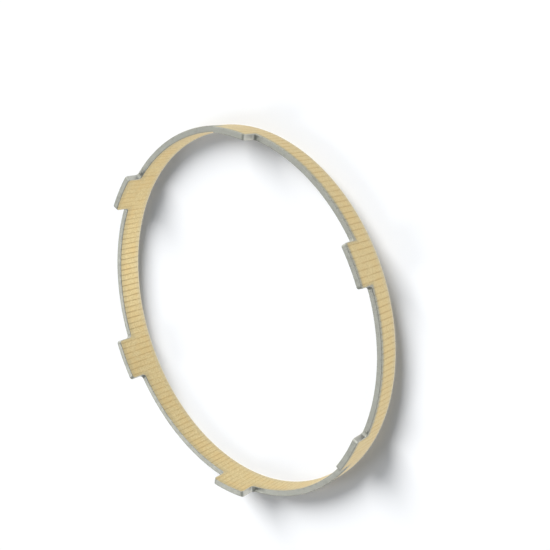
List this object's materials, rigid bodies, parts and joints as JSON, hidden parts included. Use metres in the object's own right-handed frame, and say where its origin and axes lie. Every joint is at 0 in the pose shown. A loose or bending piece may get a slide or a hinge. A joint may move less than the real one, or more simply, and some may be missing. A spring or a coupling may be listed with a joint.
{
  "type": "synchronizer ring",
  "caption": "Thin conical gearbox synchronizer ring with drive tabs on its wide rim and fine axial oil grooves on its inner and outer friction faces.",
  "frame": {"origin": "on the ring's axis, in the plane of the small rim that it rests on", "axes": "+Z along the ring's axis towards the tabs, +X through the middle of a tab"},
  "size_m": [0.1614, 0.16, 0.0156],
  "materials": {
    "friction_face": "matt bronze-coloured friction faces on steel, with bare grey cut edges"
  },
  "bodies": {
    "root": {"synchronizer_ring": "friction_face"}
  },
  "joints": []
}
